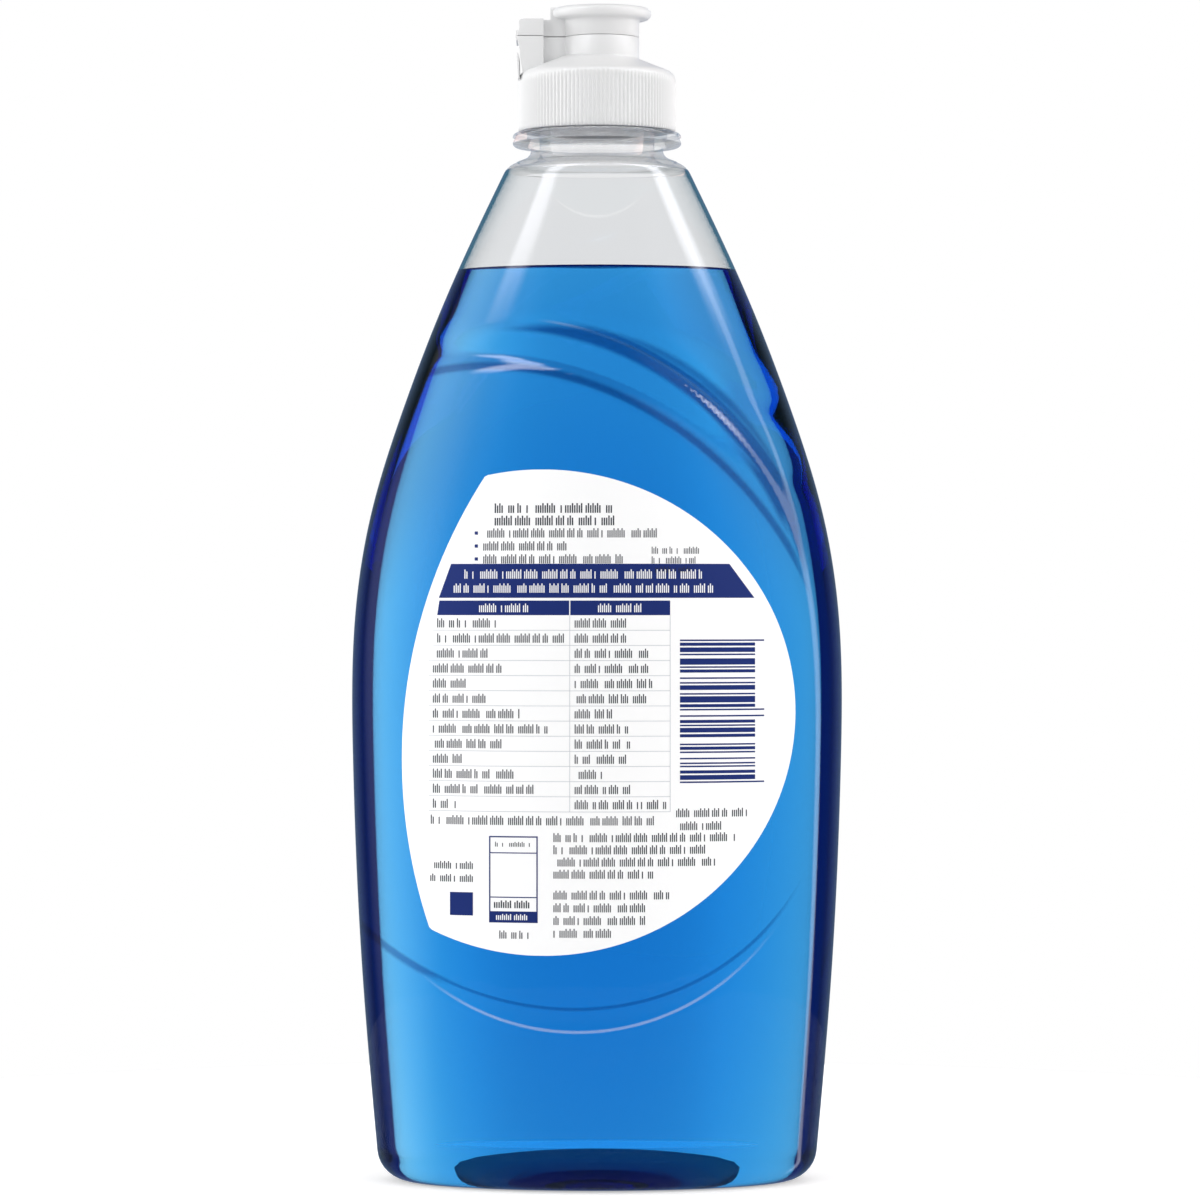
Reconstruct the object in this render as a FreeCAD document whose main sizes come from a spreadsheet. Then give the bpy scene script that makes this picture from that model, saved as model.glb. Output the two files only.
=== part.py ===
import FreeCAD, Part
import math
import os
from FreeCAD import Placement, Rotation, Vector

# Dish soap bottle: an oval blown bottle with its filling and back label, and a
# one-piece flip-top closure whose lid swings on a thin hinge.
# The bottle stands on the plane z = 0 with its axis on the Z axis, its width
# along X and the labelled back towards -Y. The lid's hinge is on the -X side.

os.makedirs("parts", exist_ok=True)
doc = FreeCAD.newDocument("dish_soap_bottle")

# Driving dimensions in millimetres and degrees. Each has its own named cell.
SIZES = [
    # Oval stations of the blown body, from the foot to the collar.
    ("foot_height", 0.0), ("foot_half_width", 41.2), ("foot_half_depth", 24.6),
    ("heel_height", 40.0), ("heel_half_width", 44.6), ("heel_half_depth", 28.0),
    ("belly_height", 80.0), ("belly_half_width", 46.35), ("belly_half_depth", 28.5),
    ("chest_height", 108.0), ("chest_half_width", 45.85), ("chest_half_depth", 28.1),
    ("waist_height", 128.0), ("waist_half_width", 42.5), ("waist_half_depth", 26.6),
    ("flank_height", 146.0), ("flank_half_width", 36.9), ("flank_half_depth", 24.4),
    ("shoulder_height", 168.0), ("shoulder_half_width", 28.4), ("shoulder_half_depth", 20.9),
    ("collar_height", 193.0), ("collar_half_width", 16.7), ("collar_half_depth", 16.0),
    # Wall, rounded corners and the raised middle of the base.
    ("wall", 0.8), ("floor_thickness", 1.2),
    ("foot_corner", 5.5), ("collar_corner", 2.0),
    ("push_up_height", 6.0), ("push_up_half_width", 29.0), ("push_up_half_depth", 16.0),
    # Raised oval panel, and the curved flutes moulded round it.
    ("flute_depth", 0.9),
    ("panel_middle", -12.9), ("panel_height", 93.9), ("panel_tilt", 42.5),
    ("panel_half_length", 62.9), ("panel_half_breadth", 54.2),
    ("ridge_middle", -20.2), ("ridge_height", 99.5), ("ridge_radius", 61.2), ("ridge_land", 0.8),
    ("crest_middle", -7.5), ("crest_height", 114.9), ("crest_radius", 47.8),
    ("sweep_middle", -3.8), ("sweep_height", 75.7), ("sweep_radius", 45.5),
    # Label film on the back.
    ("label_thickness", 0.15),
    ("label_middle", -10.25), ("label_height", 89.25),
    ("label_half_width", 47.2), ("label_half_height", 44.9),
    ("label_side_middle", 60.0), ("label_side_height", 80.4), ("label_side_radius", 96.3),
    # Filling.
    ("fill_height", 171.8),
    # Neck finish with its transfer ring.
    ("neck_radius", 12.54), ("neck_bore_radius", 10.9),
    ("root_radius", 15.2), ("root_rise", 1.3),
    ("ring_gap", 1.7), ("ring_radius", 16.0), ("ring_thickness", 2.6), ("ring_corner", 1.2),
    ("finish_height", 10.2), ("thread_depth", 1.21),
    # Closure skirt and its sloping shoulder.
    ("thread_clearance", 0.3), ("skirt_clearance", 0.3), ("seat_gap", 0.1),
    ("skirt_wall", 0.88), ("rib_count", 120), ("rib_depth", 0.25),
    ("deck_rise", 1.07), ("cap_slope", 22.0), ("cap_corner", 2.0),
    # Plug seal and the hollow above it.
    ("plug_clearance", 0.35), ("plug_wall", 0.9), ("plug_depth", 3.0), ("hollow_rise", 1.6),
    # Tower and spout.
    ("tower_offset", 0.8), ("tower_radius", 7.22), ("tower_wall", 1.3), ("tower_rise", 7.9),
    ("ledge_thickness", 0.8),
    ("spout_radius", 5.6), ("spout_taper", 0.4), ("spout_wall", 1.0), ("spout_rise", 2.6),
    ("spout_roof", 0.9), ("orifice_radius", 1.75),
    # Lid with its flange and plug pin.
    ("parting_gap", 0.1), ("lid_wall", 1.15), ("lid_rise", 5.6),
    ("flange_radius", 9.5), ("flange_thickness", 2.1), ("flange_corner", 1.0),
    ("pin_clearance", 0.25), ("pin_reach", 0.6),
    # Hinge block in two halves, the bead between them and the notch under it.
    ("hinge_distance", 15.2), ("hinge_inset", 0.2), ("block_step", 4.9),
    ("block_half_width", 4.6), ("block_neck_half_width", 3.8),
    ("lid_block_rise", 3.3), ("block_corner", 0.6), ("web_reach", 8.87),
    ("bead_radius", 0.35), ("bead_clearance", 0.15),
    ("notch_wall", 0.45), ("notch_width", 1.5), ("notch_top", 3.5),
]

sheet = doc.addObject("Spreadsheet::Sheet", "Sizes")
for row, (alias, value) in enumerate(SIZES, 1):
    sheet.set(f"A{row}", alias)
    sheet.set(f"B{row}", str(value))
    sheet.setAlias(f"B{row}", alias)
doc.recompute()


def bind(item, **formulas):
    """Tie properties of an object to formulas, where each word names a cell."""
    for path, formula in formulas.items():
        item.setExpression(path.replace("_at_", ".Base."), cells(formula))
    return item


def cells(formula):
    """Write the sheet's name before each cell's name in a formula."""
    names = {alias for alias, value in SIZES}
    words = formula.split()
    return " ".join(f"Sizes.{word}" if word in names else word for word in words)


def read(alias):
    """The value of one cell."""
    return float(sheet.get(alias))


def place(item, x, y, z):
    return bind(item, Placement_at_x=x, Placement_at_y=y, Placement_at_z=z)


def cylinder(name, radius, height, x="0", y="0", z="0"):
    item = doc.addObject("Part::Cylinder", name)
    return place(bind(item, Radius=radius, Height=height), x, y, z)


def cone(name, low_radius, high_radius, height, x="0", y="0", z="0"):
    item = doc.addObject("Part::Cone", name)
    return place(bind(item, Radius1=low_radius, Radius2=high_radius, Height=height), x, y, z)


def box(name, length, width, height, x="0", y="0", z="0"):
    item = doc.addObject("Part::Box", name)
    return place(bind(item, Length=length, Width=width, Height=height), x, y, z)


def fuse(name, *items):
    item = doc.addObject("Part::MultiFuse", name)
    item.Shapes = list(items)
    return item


def cut(name, base, tool):
    item = doc.addObject("Part::Cut", name)
    item.Base = base
    item.Tool = tool
    return item


def common(name, *items):
    item = doc.addObject("Part::MultiCommon", name)
    item.Shapes = list(items)
    return item


def bevel(name, base, size, wanted):
    """Bevel the edges of a shape that the test picks out."""
    doc.recompute()
    item = doc.addObject("Part::Chamfer", name)
    item.Base = base
    picks = [number for number, edge in enumerate(base.Shape.Edges, 1) if wanted(edge)]
    item.Edges = [(number, size, size) for number in picks]
    return item


def level(height):
    """A test for edges that lie flat at one height."""
    def wanted(edge):
        bounds = edge.BoundBox
        return abs(bounds.ZMin - height) < 0.01 and abs(bounds.ZMax - height) < 0.01
    return wanted


# Heights of the neck and closure, each built on the one below it.
RING_BOTTOM = "( collar_height + root_rise + ring_gap )"
RING_TOP = f"( {RING_BOTTOM} + ring_thickness )"
NECK_TOP = f"( {RING_TOP} + finish_height )"
PARTING = f"( {NECK_TOP} + tower_rise )"

# The side lines of the blown body run smoothly through its oval stations.
STATIONS = ["foot", "heel", "belly", "chest", "waist", "flank", "shoulder", "collar"]
BODY_BANDS = 22
CORNER_BANDS = 3


def side_line(kind):
    """The body's half width or half depth as a smooth curve over its height."""
    heights = [read(f"{station}_height") for station in STATIONS]
    points = [Vector(read(f"{station}_half_{kind}"), 0, height)
              for station, height in zip(STATIONS, heights)]
    curve = Part.BSplineCurve()
    curve.interpolate(Points=points, Parameters=heights)
    return curve


WIDTH_LINE = side_line("width")
DEPTH_LINE = side_line("depth")


def oval_wire(half_width, half_depth, height):
    ellipse = Part.Ellipse(Vector(0, 0, height), half_width, half_depth)
    return Part.Wire([ellipse.toShape()])


def body_form(name, inset, low=0.0, low_corner=0.0, high_corner=0.0):
    """The body between a low plane and the collar, set in from the outer skin, with
    its low and high edges rounded."""
    high = read("collar_height") - max(inset, 0)
    quarter = [math.pi / 2 * step / CORNER_BANDS for step in range(CORNER_BANDS)]
    stations = []
    if low_corner:
        stations = [(low + low_corner * (1 - math.cos(turn)), low_corner * (1 - math.sin(turn)))
                    for turn in quarter]
    start = low + low_corner
    span = high - high_corner - start
    stations += [(start + span * band / BODY_BANDS, 0.0) for band in range(BODY_BANDS + 1)]
    if high_corner:
        stations += [(high - high_corner * (1 - math.cos(turn)), high_corner * (1 - math.sin(turn)))
                     for turn in reversed(quarter)]
    wires = [oval_wire(WIDTH_LINE.value(height).x - inset - round_off,
                       DEPTH_LINE.value(height).x - inset - round_off, height)
             for height, round_off in stations]
    item = doc.addObject("Part::Feature", name)
    item.Shape = Part.makeLoft(wires, True, True)
    return item


def through_round(name, middle, height, radius):
    """A round bar along Y, long enough to pass through the body."""
    item = doc.addObject("Part::Cylinder", name)
    item.Placement = Placement(Vector(), Rotation(Vector(1, 0, 0), -90))
    bind(item, Radius=radius, Height="4 * belly_half_depth")
    return place(item, middle, "-2 * belly_half_depth", height)


def through_oval(name, middle, height, along, across, tilt, back="2 * belly_half_depth"):
    """An oval bar along Y, its long axis leaning towards -X by the tilt."""
    outline = doc.addObject("Part::Ellipse", f"{name}_outline")
    lean = Rotation(Vector(0, 1, 0), -90 - tilt)
    outline.Placement = Placement(Vector(), lean * Rotation(Vector(1, 0, 0), 90))
    place(bind(outline, MajorRadius=along, MinorRadius=across), middle, "0", height)
    item = doc.addObject("Part::Extrusion", name)
    item.Base = outline
    item.DirMode = "Custom"
    item.Dir = Vector(0, 1, 0)
    item.Solid = True
    return bind(item, LengthFwd=back, LengthRev="2 * belly_half_depth")


def flute_bars(name, grow):
    """Crescents between the panel and the curves round it, widened by a margin."""
    panel = through_oval(f"{name}_panel", "panel_middle", "panel_height",
                         f"panel_half_length - {grow}", f"panel_half_breadth - {grow}",
                         read("panel_tilt"))
    ridge = through_round(f"{name}_ridge", "ridge_middle", "ridge_height",
                          f"ridge_radius + {grow}")
    land = through_round(f"{name}_land", "ridge_middle", "ridge_height",
                         f"ridge_radius + ridge_land - {grow}")
    crest = through_round(f"{name}_crest", "crest_middle", "crest_height",
                          f"crest_radius + {grow}")
    sweep = through_round(f"{name}_sweep", "sweep_middle", "sweep_height",
                          f"sweep_radius + {grow}")
    return fuse(f"{name}_bars", cut(f"{name}_upper", ridge, panel),
                cut(f"{name}_crescent", crest, land), cut(f"{name}_lower", sweep, panel))


def moulded(name, skin, core, grow):
    """Press the flutes into a skin, down to the core's depth."""
    return cut(name, skin, cut(f"{name}_flutes", flute_bars(name, grow), core))


def push_up(name, grow):
    """The raised middle of the base, an oval dome that flattens out at its top."""
    turns = [math.pi / 2 * step / (2 * CORNER_BANDS) for step in range(2 * CORNER_BANDS)]
    wires = [oval_wire((read("push_up_half_width") + grow) * math.cos(turn),
                       (read("push_up_half_depth") + grow) * math.cos(turn),
                       (read("push_up_height") + grow) * math.sin(turn)) for turn in turns]
    item = doc.addObject("Part::Feature", name)
    item.Shape = Part.makeLoft(wires, True, True)
    return item


# Outer skin of the body with its rounded foot and collar, and its flutes.
outer_skin = body_form("outer_skin", 0.0, 0.0, read("foot_corner"), read("collar_corner"))
outer_core = body_form("outer_core", read("flute_depth"))
outer_body = moulded("outer_body", outer_skin, outer_core, "0")

# Space inside: the same form one wall further in, over the raised middle of the base.
wall = read("wall")
floor = read("floor_thickness")
inner_skin = body_form("inner_skin", wall, floor, read("foot_corner") - wall,
                       read("collar_corner") - wall)
inner_core = body_form("inner_core", wall + read("flute_depth"))
inner_body = moulded("inner_body", inner_skin, inner_core, "wall")
cavity = cut("cavity", inner_body, push_up("inner_push_up", floor))

# Neck: a conical root, the plain barrel that carries the thread, and the ring
# that the bottle hangs from while it is filled.
neck_root = cone("neck_root", "root_radius", "neck_radius", "root_rise + collar_corner / 4",
                 z="collar_height - collar_corner / 4")
neck_barrel = cylinder("neck_barrel", "neck_radius",
                       f"{NECK_TOP} - collar_height + wall", z="collar_height - wall")
ring_disc = cylinder("ring_disc", "ring_radius", "ring_thickness", z=RING_BOTTOM)
transfer_ring = bevel("transfer_ring", ring_disc, read("ring_corner"),
                       lambda edge: edge.Closed)
neck_bore = cylinder("neck_bore", "neck_bore_radius", f"{NECK_TOP} - collar_height + 4 * wall",
                     z="collar_height - 3 * wall")

bottle_solid = fuse("bottle_solid", outer_body, neck_root, neck_barrel, transfer_ring)
bottle_space = fuse("bottle_space", cavity, neck_bore, push_up("outer_push_up", 0.0))
bottle = cut("bottle", bottle_solid, bottle_space)

# Filling: what the space inside holds below the fill line.
fill_block = box("fill_block", "4 * belly_half_width", "4 * belly_half_depth", "fill_height",
                 x="-2 * belly_half_width", y="-2 * belly_half_depth")
dish_soap = common("dish_soap", cavity, fill_block)

# Back label: a thin film on the panel, an oval with its left side cut to a flatter arc.
label_oval = through_oval("label_oval", "label_middle", "label_height",
                          "label_half_width", "label_half_height", -90, back="0")
label_side = through_round("label_side", "label_side_middle", "label_side_height",
                           "label_side_radius")
label_skin = body_form("label_skin", -read("label_thickness"), 0.0, read("foot_corner"),
                       read("collar_corner"))
label_film = cut("label_film", label_skin, outer_skin)
back_label = common("back_label", label_film, label_oval, label_side)

# Closure skirt: fine upright ribs that fade out in the rounded edge of the shoulder.
BORE_RADIUS = "( neck_radius + thread_depth + thread_clearance )"
SKIRT_RADIUS = f"( {BORE_RADIUS} + skirt_wall )"
SKIRT_BOTTOM = f"( {RING_TOP} + skirt_clearance )"
DECK = f"( {NECK_TOP} + seat_gap )"
SHOULDER_EDGE = f"( {NECK_TOP} + deck_rise )"
CONE_TOP_RADIUS = "( tower_radius - tower_offset )"

skirt_barrel = cylinder("skirt_barrel", SKIRT_RADIUS, f"{SHOULDER_EDGE} - {SKIRT_BOTTOM}",
                        z=SKIRT_BOTTOM)
cap_cone = cone("cap_cone", SKIRT_RADIUS, CONE_TOP_RADIUS,
                f"( {SKIRT_RADIUS} - {CONE_TOP_RADIUS} ) * tan( cap_slope )",
                z=SHOULDER_EDGE)
cap_form = fuse("cap_form", skirt_barrel, cap_cone)
doc.recompute()
shoulder_edge = skirt_barrel.Shape.BoundBox.ZMax
cap_bevelled = bevel("cap_bevelled", cap_form, read("cap_corner"),
                     lambda edge: level(shoulder_edge)(edge) and edge.Closed)


def ribbed_bar(name):
    """A bar whose outline runs between the crests and valleys of the ribs."""
    outer = skirt_barrel.Radius.Value
    count = int(read("rib_count"))
    points = []
    for step in range(2 * count + 1):
        radius = outer if step % 2 == 0 else outer - read("rib_depth")
        angle = math.pi * step / count
        points.append(Vector(radius * math.cos(angle), radius * math.sin(angle), 0))
    outline = Part.Face(Part.makePolygon(points))
    item = doc.addObject("Part::Feature", name)
    item.Shape = outline.extrude(Vector(0, 0, cap_form.Shape.BoundBox.ZLength))
    return place(item, "0", "0", SKIRT_BOTTOM)


cap_skirt = common("cap_skirt", cap_bevelled, ribbed_bar("rib_bar"))

# Tower and spout, set off a little from the axis, away from the hinge.
tower = cylinder("tower", "tower_radius", f"{PARTING} - {SHOULDER_EDGE}",
                 x="tower_offset", z=SHOULDER_EDGE)
spout = cone("spout", "spout_radius", "spout_radius - spout_taper", "spout_rise",
             x="tower_offset", z=PARTING)

# Lower half of the hinge block, with a narrower neck towards the tower.
BLOCK_REAR = "( hinge_distance - hinge_inset )"
base_block = box("base_block", "block_step", "2 * block_half_width",
                 f"{PARTING} - {SHOULDER_EDGE} + cap_corner",
                 x=f"-1 * {BLOCK_REAR}", y="-1 * block_half_width",
                 z=f"{SHOULDER_EDGE} - cap_corner")
base_block_neck = box("base_block_neck", f"{BLOCK_REAR} - block_step", "2 * block_neck_half_width",
                      f"{PARTING} - {SHOULDER_EDGE}",
                      x=f"block_step - {BLOCK_REAR}", y="-1 * block_neck_half_width",
                      z=SHOULDER_EDGE)
notch = doc.addObject("Part::Wedge", "notch")
bind(notch, Xmin="0", Xmax="notch_width", X2min="0", X2max="0",
     Ymin="0", Ymax=f"{PARTING} - {SHOULDER_EDGE} + cap_corner - notch_top",
     Zmin="0", Zmax="2 * block_half_width", Z2min="0", Z2max="2 * block_half_width")
notch.Placement = Placement(Vector(), Rotation(Vector(1, 0, 0), 90))
place(notch, f"notch_wall - {BLOCK_REAR}", "block_half_width", f"{SHOULDER_EDGE} - cap_corner")
base_hinge = cut("base_hinge", base_block, notch)
hinge_bead = doc.addObject("Part::Cylinder", "hinge_bead")
hinge_bead.Placement = Placement(Vector(), Rotation(Vector(1, 0, 0), -90))
bind(hinge_bead, Radius="bead_radius", Height="2 * block_half_width")
place(hinge_bead, "-1 * hinge_distance", "-1 * block_half_width", PARTING)

# Space inside the closure: the bore over the neck, the hollow under the shoulder,
# the chimney in the tower, the spout and its orifice.
PLUG_RADIUS = "( neck_bore_radius - plug_clearance )"
HOLLOW_RADIUS = f"( {PLUG_RADIUS} - plug_wall )"
CHIMNEY_RADIUS = "( tower_radius - tower_wall )"
SPOUT_TOP = f"( {PARTING} + spout_rise )"
cap_bore = cylinder("cap_bore", BORE_RADIUS, f"{DECK} - {SKIRT_BOTTOM} + skirt_clearance",
                    z=f"{SKIRT_BOTTOM} - skirt_clearance")
hollow_drum = cylinder("hollow_drum", HOLLOW_RADIUS, f"{NECK_TOP} + hollow_rise - {DECK}", z=DECK)
hollow_cone = cone("hollow_cone", HOLLOW_RADIUS, CHIMNEY_RADIUS,
                   f"( {HOLLOW_RADIUS} - {CHIMNEY_RADIUS} ) * tan( cap_slope )",
                   z=f"{NECK_TOP} + hollow_rise")
chimney = cylinder("chimney", CHIMNEY_RADIUS, f"{PARTING} - ledge_thickness - {DECK}",
                   x="tower_offset", z=DECK)
spout_bore = cylinder("spout_bore", "spout_radius - spout_wall",
                      "ledge_thickness + spout_rise - spout_roof",
                      x="tower_offset", z=f"{PARTING} - ledge_thickness")
orifice = cylinder("orifice", "orifice_radius", "2 * spout_roof",
                   x="tower_offset", z=f"{SPOUT_TOP} - 1.5 * spout_roof")
cap_solid = fuse("cap_solid", cap_skirt, tower, spout, base_hinge, base_block_neck, hinge_bead)
cap_space = fuse("cap_space", cap_bore, hollow_drum, hollow_cone, chimney, spout_bore, orifice)
cap_shell = cut("cap_shell", cap_solid, cap_space)

# Plug seal: a short tube that enters the bottle's neck.
plug_outer = cylinder("plug_outer", PLUG_RADIUS, "plug_depth + plug_wall",
                      z=f"{DECK} - plug_depth")
plug_inner = cylinder("plug_inner", HOLLOW_RADIUS, "plug_depth + 2 * plug_wall",
                      z=f"{DECK} - plug_depth")
plug_seal = cut("plug_seal", plug_outer, plug_inner)
closure_base = fuse("closure_base", cap_shell, plug_seal)

# Lid: a cup under a round flange, a pin that stops the orifice, the upper half of
# the hinge block, and a web that ties it to the flange.
LID_BOTTOM = f"( {PARTING} + parting_gap )"
LID_TOP = f"( {PARTING} + lid_rise )"
FLANGE_BOTTOM = f"( {LID_TOP} - flange_thickness )"
lid_cup = cylinder("lid_cup", "tower_radius", f"{LID_TOP} - flange_thickness / 2 - {LID_BOTTOM}",
                   x="tower_offset", z=LID_BOTTOM)
flange_disc = cylinder("flange_disc", "flange_radius", "flange_thickness",
                       x="tower_offset", z=FLANGE_BOTTOM)
lid_flange = bevel("lid_flange", flange_disc, read("flange_corner"), lambda edge: edge.Closed)
lid_block = box("lid_block", "block_step", "2 * block_half_width", "lid_block_rise - parting_gap",
                x=f"-1 * {BLOCK_REAR}", y="-1 * block_half_width", z=LID_BOTTOM)
doc.recompute()
block_bounds = lid_block.Shape.BoundBox
lid_hinge = bevel("lid_hinge", lid_block, read("block_corner"),
                   lambda edge: level(block_bounds.ZMax)(edge)
                   and edge.BoundBox.XMax < block_bounds.XMin + 0.01)
lid_block_neck = box("lid_block_neck", f"{BLOCK_REAR} - block_step", "2 * block_neck_half_width",
                     "lid_block_rise - parting_gap",
                     x=f"block_step - {BLOCK_REAR}", y="-1 * block_neck_half_width", z=LID_BOTTOM)
lid_web = box("lid_web", "web_reach", "2 * block_neck_half_width", f"{LID_TOP} - {LID_BOTTOM}",
              x="-1 * web_reach", y="-1 * block_neck_half_width", z=LID_BOTTOM)
lid_solid = fuse("lid_solid", lid_cup, lid_flange, lid_hinge, lid_block_neck, lid_web)
lid_bore = cylinder("lid_bore", "tower_radius - lid_wall", f"{FLANGE_BOTTOM} - {PARTING}",
                    x="tower_offset", z=PARTING)
bead_room = doc.addObject("Part::Cylinder", "bead_room")
bead_room.Placement = Placement(Vector(), Rotation(Vector(1, 0, 0), -90))
bind(bead_room, Radius="bead_radius + bead_clearance", Height="4 * block_half_width")
place(bead_room, "-1 * hinge_distance", "-2 * block_half_width", PARTING)
lid_shell = cut("lid_shell", lid_solid, fuse("lid_space", lid_bore, bead_room))
plug_pin = cylinder("plug_pin", "orifice_radius - pin_clearance",
                    f"{LID_TOP} - flange_thickness / 2 - {SPOUT_TOP} + pin_reach",
                    x="tower_offset", z=f"{SPOUT_TOP} - pin_reach")
closure_lid = fuse("closure_lid", lid_shell, plug_pin)

PIECES = [bottle, dish_soap, back_label, closure_base, closure_lid]
doc.recompute()
for item in doc.Objects:
    if "Invalid" in item.State or "Error" in item.State:
        raise RuntimeError(f"{item.Label} did not build")
for piece in PIECES:
    if piece.Shape.isNull() or not piece.Shape.isValid():
        raise RuntimeError(f"{piece.Label} has no valid shape")
for piece in PIECES:
    piece.Shape.exportStep(f"parts/{piece.Label}.step")
    print(piece.Label, len(piece.Shape.Solids), "solids", round(piece.Shape.Volume), "mm3")
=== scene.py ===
import math

import bmesh
import bpy
import numpy as np
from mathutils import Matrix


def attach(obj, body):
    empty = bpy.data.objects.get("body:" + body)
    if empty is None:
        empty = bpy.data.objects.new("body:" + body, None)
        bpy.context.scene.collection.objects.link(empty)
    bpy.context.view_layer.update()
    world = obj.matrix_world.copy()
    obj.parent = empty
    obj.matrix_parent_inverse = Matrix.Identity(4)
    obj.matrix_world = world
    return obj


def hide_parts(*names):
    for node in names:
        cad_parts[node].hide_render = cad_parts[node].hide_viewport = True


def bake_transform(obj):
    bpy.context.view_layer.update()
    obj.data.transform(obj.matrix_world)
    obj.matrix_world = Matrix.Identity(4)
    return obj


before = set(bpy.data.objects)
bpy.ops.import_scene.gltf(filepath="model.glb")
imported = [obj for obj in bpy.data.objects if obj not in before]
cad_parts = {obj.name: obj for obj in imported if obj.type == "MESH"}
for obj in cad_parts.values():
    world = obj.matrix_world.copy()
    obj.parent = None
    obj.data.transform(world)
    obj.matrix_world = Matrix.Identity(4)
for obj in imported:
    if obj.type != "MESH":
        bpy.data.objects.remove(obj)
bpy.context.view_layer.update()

# Bottle: one piece of clear polyester, blown in a mould, with walls about 0.8 mm thick.
# The oval body has a tilted panel for the label and crescent flutes swept round it.
# The neck was moulded first, with its screw thread and the ring that carries it.
MM = 0.001
STATION_HEIGHTS = np.array([0.0, 40.0, 80.0, 108.0, 128.0, 146.0, 168.0, 193.0])
STATION_WIDTHS = np.array([41.2, 44.6, 46.35, 45.85, 42.5, 36.9, 28.4, 16.7])
STATION_DEPTHS = np.array([24.6, 28.0, 28.5, 28.1, 26.6, 24.4, 20.9, 16.0])
FOOT_CORNER = 5.5
COLLAR = 193.0
COLLAR_CORNER = 2.0
ROUND = 232


def smooth_line(places, sizes):
    """A smooth curve through sizes at places, as a function of the place."""
    gaps = np.diff(places)
    slopes = np.diff(sizes) / gaps
    count = len(places)
    matrix = np.eye(count)
    right = np.zeros(count)
    for row in range(1, count - 1):
        matrix[row, row - 1:row + 2] = gaps[row - 1], 2 * (gaps[row - 1] + gaps[row]), gaps[row]
        right[row] = 3 * (slopes[row] - slopes[row - 1])
    bends = np.linalg.solve(matrix, right)

    def line(place):
        part = np.clip(np.searchsorted(places, place) - 1, 0, count - 2)
        step = place - places[part]
        gap = gaps[part]
        tilt = slopes[part] - gap * (2 * bends[part] + bends[part + 1]) / 3
        return (sizes[part] + tilt * step + bends[part] * step ** 2
                + (bends[part + 1] - bends[part]) / (3 * gap) * step ** 3)

    return line


half_width = smooth_line(STATION_HEIGHTS, STATION_WIDTHS)
half_depth = smooth_line(STATION_HEIGHTS, STATION_DEPTHS)

# The mould lines seen from the labelled side. The round ones are given by their middle,
# height and radius. The panel is an oval that leans to the left.
RIDGE_LINE = (-20.2, 99.5, 61.2)
CREST_LINE = (-7.5, 114.9, 47.8)
SWEEP_LINE = (-3.8, 75.7, 45.5)
PANEL_MIDDLE = -12.9
PANEL_HEIGHT = 93.9
PANEL_TILT = math.radians(42.5)
PANEL_ACROSS = 54.2
PANEL_ALONG = 62.9
# Each flute has a depth and the width of its steep side, and fades where it is narrow.
UPPER_FLUTE = (1.9, 3.6)
OUTER_FLUTE = (1.9, 3.2)
LOWER_FLUTE = (1.5, 3.4)
NARROW = 12.0


def beyond_round(x, z, line):
    """How far a point lies outside a round mould line."""
    middle, height, radius = line
    return np.hypot(x - middle, z - height) - radius


def beyond_panel(x, z):
    """How far a point lies outside the tilted oval panel."""
    right = x - PANEL_MIDDLE
    up = z - PANEL_HEIGHT
    along = up * math.cos(PANEL_TILT) - right * math.sin(PANEL_TILT)
    across = up * math.sin(PANEL_TILT) + right * math.cos(PANEL_TILT)
    share = np.hypot(along / PANEL_ALONG, across / PANEL_ACROSS) + 1e-9
    return (share - 1) * np.hypot(along, across) / share


def eased(share):
    """A share kept between 0 and 1, with a gentle start and end."""
    share = np.clip(share, 0, 1)
    return share * share * (3 - 2 * share)


def crescent(inner, outer, depth, entry):
    """Depth of a flute: a steep side at its inner line, rising to its outer line."""
    inside = np.clip(inner, 0, None)
    left = np.clip(-outer, 0, None)
    width = inside + left + 1e-6
    side = eased(inside / np.minimum(entry, 0.45 * width))
    body = depth * side * (1 - inside / width) ** 1.2 * eased(width / NARROW)
    return np.where((inner > 0) & (outer < 0), body, 0)


def relief(x, z):
    """How deep the moulded flutes lie under the plain oval body."""
    panel = beyond_panel(x, z)
    ridge = beyond_round(x, z, RIDGE_LINE)
    crest = beyond_round(x, z, CREST_LINE)
    sweep = beyond_round(x, z, SWEEP_LINE)
    upper = crescent(panel, ridge, *UPPER_FLUTE)
    outer = crescent(ridge, crest, *OUTER_FLUTE)
    lower = crescent(panel, sweep, *LOWER_FLUTE)
    return np.maximum(np.maximum(upper, outer), lower)


# The flutes fade out before they reach the sides. On the far side they are shallower
# and fade sooner, because the soap bends them out of shape.
NEAR_FADE_START = 0.36
NEAR_FADE_REACH = 0.5
FAR_FADE_START = 0.62
FAR_FADE_REACH = 0.3
FAR_SHARE = 0.4


def oval_rows(rows, columns=ROUND):
    """Points round each row (half width, half depth, height, share of the flutes)."""
    rows = np.array(rows)
    turn = np.linspace(0, 2 * math.pi, columns, endpoint=False)
    wide, deep, height, share = (rows[:, [column]] for column in range(4))
    x = wide * np.cos(turn)
    y = deep * np.sin(turn)
    z = np.repeat(height, columns, axis=1)
    facing_x = np.cos(turn) * deep
    facing_y = np.sin(turn) * wide
    length = np.hypot(facing_x, facing_y) + 1e-9
    facing = np.abs(np.sin(turn))
    near_fade = eased((facing - NEAR_FADE_START) / NEAR_FADE_REACH)
    far_fade = FAR_SHARE * np.clip((facing - FAR_FADE_START) / FAR_FADE_REACH, 0, 1)
    sunk = relief(x, z) * share * np.where(y > 0, far_fade, near_fade)
    return np.stack([x - sunk * facing_x / length, y - sunk * facing_y / length, z], axis=-1)


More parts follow.
